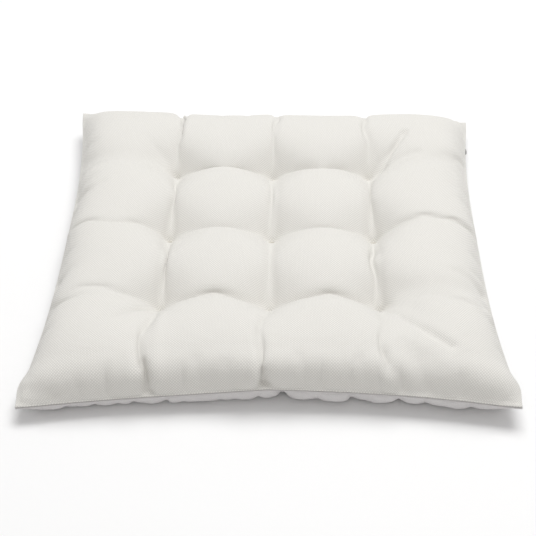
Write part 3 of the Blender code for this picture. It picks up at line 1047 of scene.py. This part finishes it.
def seam_point(places):
    """Points on the simulated seam, at these shares of the way round from the front left corner."""
    rim = rim_of(SHAPE["top"])
    return blend(np.concatenate([rim, rim[:1]]), np.asarray(places) % 1 * len(rim))


class SewSeams(bpy.types.Operator):
    """Runs the machine seam round the edge, and closes the opening at the back by hand"""

    bl_idname = "seat_pad.sew_seams"
    bl_label = "Sew Seams"

    def execute(self, context):
        stitches = pad().stitches
        thread = twisted_yarn("sewing_thread", pad().fabric.thread_colour)
        radius = stitches.thread / 2
        rim = rim_of(SHAPE["top"])
        around = np.linalg.norm(rim - np.roll(rim, 1, 0), axis=1).sum()
        opening = stitches.closing_length / around
        count = round((1 - opening) * around / stitches.stitch)
        ends = BACK_MIDDLE + opening / 2, BACK_MIDDLE + 1 - opening / 2
        path = seam_point(np.linspace(*ends, SEAM_STEPS * count + 1))
        inward = 1 - stitches.seam_inset / HALF
        path = path * (inward, inward, 1)
        path[:, 2] += SEAM_WAVE * np.sin(np.arange(len(path)) * 2 * math.pi / SEAM_STEPS)
        thread_piece("machine_stitching", [(path, False)], radius, 6, thread, "machine_seam_thread")
        count = 2 * round(stitches.closing_length / stitches.closing_stitch) + 1
        ends = BACK_MIDDLE - opening / 2, BACK_MIDDLE + opening / 2
        ladder = []
        for place, spot in enumerate(seam_point(np.linspace(*ends, count))):
            upward = LADDER_RISE if (place + 1) // 2 % 2 else -LADDER_RISE
            ladder.append(spot + (0, LADDER_OUT[place % 2], upward))
        path = blend(np.array(ladder), np.linspace(0, count - 1, 8 * (count - 1) + 1))
        thread_piece("hand_stitching", [(path, False)], radius, 6, thread, "closing_seam_thread")
        return {"FINISHED"}


class TieTufts(bpy.types.Operator):
    """Ties the nine tufts: strands that cross the top, pass through the pad and are knotted below"""

    bl_idname = "seat_pad.tie_tufts"
    bl_label = "Tie Tufts"

    def execute(self, context):
        stitches = pad().stitches
        thread = twisted_yarn("tufting_thread", pad().fabric.thread_colour)
        strand = stitches.tuft_strand
        random = np.random.default_rng(TUFT_SEED)
        for (row, column), (low, high) in TUFTS.items():
            spot = np.array(middle((low, high)))
            foot = (spot[0], spot[1], 0)
            top = high.z - TUFT_STITCH_DEPTH + STRAND_LIFT
            bottom = low.z + TUFT_STITCH_DEPTH - STRAND_LIFT
            reach = (high.x - low.x) / 2
            shoulder, crown = top - 2 * STRAND_LIFT, reach * 0.7
            paths = []
            for place in (-1, 0, 1):
                side = place * strand
                lean = random.uniform(-STRAND_STRAY, STRAND_STRAY)
                rise = 0.0003 * (1 - abs(place)) + random.uniform(0, 0.0002)
                path = rounded_path([
                    (-reach, 0.4 * side, bottom), (reach, 0.4 * side, bottom),
                    (reach, 0.3 * side, shoulder), (crown, side - lean, top + rise),
                    (-crown, side + lean, top + rise), (-reach, 0.3 * side, shoulder),
                ], STRAND_LIFT)
                paths.append((path + foot, True))
            turns = np.linspace(0, 2 * math.pi, 21)[:-1]
            knot_reach = KNOT_RADIUS * (1 + 0.35 * np.cos(2 * turns))
            knot_height = bottom - STRAND_LIFT + 0.0005 * np.sin(3 * turns)
            knot = np.stack([knot_reach * np.cos(turns), knot_reach * np.sin(turns), knot_height], -1)
            paths.append((knot + foot, True))
            for way in (-1, 1):
                lean = random.uniform(0.4, 1.0)
                share = np.linspace(0, 1, 12)[:, None]
                tail = np.concatenate([
                    way * 0.007 * share, lean * 0.006 * share**2 * way, -0.0005 - 0.001 * share,
                ], 1)
                paths.append((tail + (spot[0], spot[1], bottom), False))
            name = f"tuft_row{row}_column{column}_stitch"
            thread_piece(name, paths, strand / 2, 8, thread, f"tuft_row{row}_col{column}")
        return {"FINISHED"}


class SewLabel(bpy.types.Operator):
    """Sews a plain folded tape label into the right seam"""

    bl_idname = "seat_pad.sew_label"
    bl_label = "Sew Label"

    def execute(self, context):
        tape = ribbed_tape("black_label_tape", pad().fabric.label_colour)
        low, high = LABEL_BOX
        thick, apart, sewn_in = 0.0004, 0.0003, 0.006
        bend, fold = 0.0015, 0.0006  # radii of its bend over the seam and of its folded end
        right = SHAPE["top"][:, -1]
        near = int(np.argmin(np.abs(right[:, 1] - middle(LABEL_BOX).y)))
        seam = right[near]
        reach = high.x - seam[0]
        profile = [(-sewn_in, apart), (0.0, apart)]
        for turn in np.linspace(0.4, math.pi / 2, 4):
            profile.append((bend * math.sin(turn), apart + bend - reach + bend * math.cos(turn)))
        for turn in np.linspace(0, math.pi, 7):
            x, z = bend - fold + fold * math.cos(turn), 2 * thick - reach - fold * math.sin(turn)
            profile.append((x, z))
        profile = np.array(profile + [(apart, -2 * fold), (0.0, -thick), (-sewn_in, -apart)])
        steps = np.gradient(profile, axis=0)
        steps = steps / np.linalg.norm(steps, axis=1, keepdims=True)
        normals = np.stack([-steps[:, 1], steps[:, 0]], -1)
        across = np.linspace(low.y, high.y, 10)
        ring = np.concatenate([profile + normals * thick / 2, (profile - normals * thick / 2)[::-1]])
        points = []
        for y in across:
            curl = 0.0004 * math.sin((y - low.y) / (high.y - low.y) * math.pi)
            points += [(seam[0] + x + curl, y, seam[2] + z) for x, z in ring]
        numbers = np.arange(len(points)).reshape(len(across), len(ring))
        faces = [face for near, far in zip(numbers, numbers[1:]) for face in ring_faces(near, far)]
        half = len(profile)
        for cap, turned in ((numbers[0], True), (numbers[-1], False)):
            for place in range(half - 1):
                face = [cap[place], cap[place + 1], cap[-2 - place], cap[-1 - place]]
                faces.append(face[::-1] if turned else face)
        run = np.concatenate([[0], np.cumsum(np.linalg.norm(np.diff(ring, axis=0), axis=1))])
        label = new_mesh("tape_label", points, faces, tape)
        places = [
            (across[number // len(ring)], run[number % len(ring)])
            for face in faces for number in map(int, face)
        ]
        add_map(label.data, THREAD_MAP, places)
        stand_in(smoothed(label), "label_tape", "side_label")
        return {"FINISHED"}


FLOOR_HALF = 4
LOOK_AT = Vector((-0.0036, 0, -0.0124))  # what the camera looks at
WHITE, WARM = (1.0, 1.0, 1.0), (1.0, 0.95, 0.92)


class SetStage(bpy.types.Operator):
    """Sets up the floor, the soft light and the camera"""

    bl_idname = "seat_pad.set_stage"
    bl_label = "Set Stage"

    def execute(self, context):
        stage = pad().stage
        paper = Finish("floor_paper", shine=0.1)
        grain = paper.solid_noise(0.004)
        paper.feed("Base Color", paper.mix(grain, darker(stage.floor_colour, 0.99), stage.floor_colour))
        paper.shader.inputs["Roughness"].default_value = 0.9
        floor = flat_square("floor", FLOOR_HALF, 0, paper.material)
        world = bpy.data.worlds.new("studio")
        world.use_nodes = True
        background = world.node_tree.nodes["Background"]
        background.inputs["Color"].default_value = (*WHITE, 1.0)
        background.inputs["Strength"].default_value = stage.sky
        context.scene.world = world
        lights = (
            ("key_light", stage.key, WHITE, (0.30, 0.70, 2.20), 1.6, 1.2),
            ("front_card", stage.card, WARM, (0.0, -1.40, 1.50), 2.0, 0.6),
        )
        for name, power, tint, place, wide, high in lights:
            light = bpy.data.lights.new(name, "AREA")
            light.shape = "RECTANGLE"
            light.size = wide
            light.size_y = high
            light.energy = power
            light.color = tint
            lamp = new_object(name, light)
            lamp.location = place
            lamp.rotation_euler = (-lamp.location).to_track_quat("-Z", "Y").to_euler()
        turn, rise, roll = map(math.radians, (stage.azimuth, stage.elevation, stage.roll))
        back = Vector((
            math.sin(turn) * math.cos(rise), -math.cos(turn) * math.cos(rise), math.sin(rise)
        ))
        level = Vector((0, 0, 1)).cross(back).normalized()
        up = back.cross(level)
        sideways = level * math.cos(roll) + up * math.sin(roll)
        upright = up * math.cos(roll) - level * math.sin(roll)
        placed = Matrix((sideways, upright, back)).transposed().to_4x4()
        placed.translation = LOOK_AT + back * stage.distance
        lens = bpy.data.cameras.new("camera")
        lens.lens = stage.lens
        lens.sensor_width = 36
        camera = new_object("camera", lens)
        camera.matrix_world = placed
        context.scene.camera = camera
        context.scene.view_settings.view_transform = "Standard"
        return {"FINISHED"}


OPERATORS = (SewCover, LayFilling, SewSeams, TieTufts, SewLabel, SetStage)


class SeatPadPanel(bpy.types.Panel):
    """The pad's sizes and colours, and a button for each piece"""

    bl_idname = "VIEW3D_PT_seat_pad"
    bl_label = "Seat Pad"
    bl_space_type = "VIEW_3D"
    bl_region_type = "UI"
    bl_category = "Seat Pad"

    def draw(self, context):
        for name, group in GROUPS.items():
            box = self.layout.box()
            box.label(text=name.title())
            for setting in group.__annotations__:
                box.prop(getattr(pad(), name), setting)
        for operator in OPERATORS:
            self.layout.operator(operator.bl_idname)


CLASSES = (*GROUPS.values(), SeatPadSettings, *OPERATORS, SeatPadPanel)


def register():
    for made in CLASSES:
        bpy.utils.register_class(made)
    bpy.types.Scene.seat_pad = PointerProperty(type=SeatPadSettings)


def unregister():
    del bpy.types.Scene.seat_pad
    for made in reversed(CLASSES):
        bpy.utils.unregister_class(made)


def main():
    register()
    for operator in OPERATORS:
        group, name = operator.bl_idname.split(".")
        getattr(getattr(bpy.ops, group), name)()


if __name__ == "__main__":
    main()
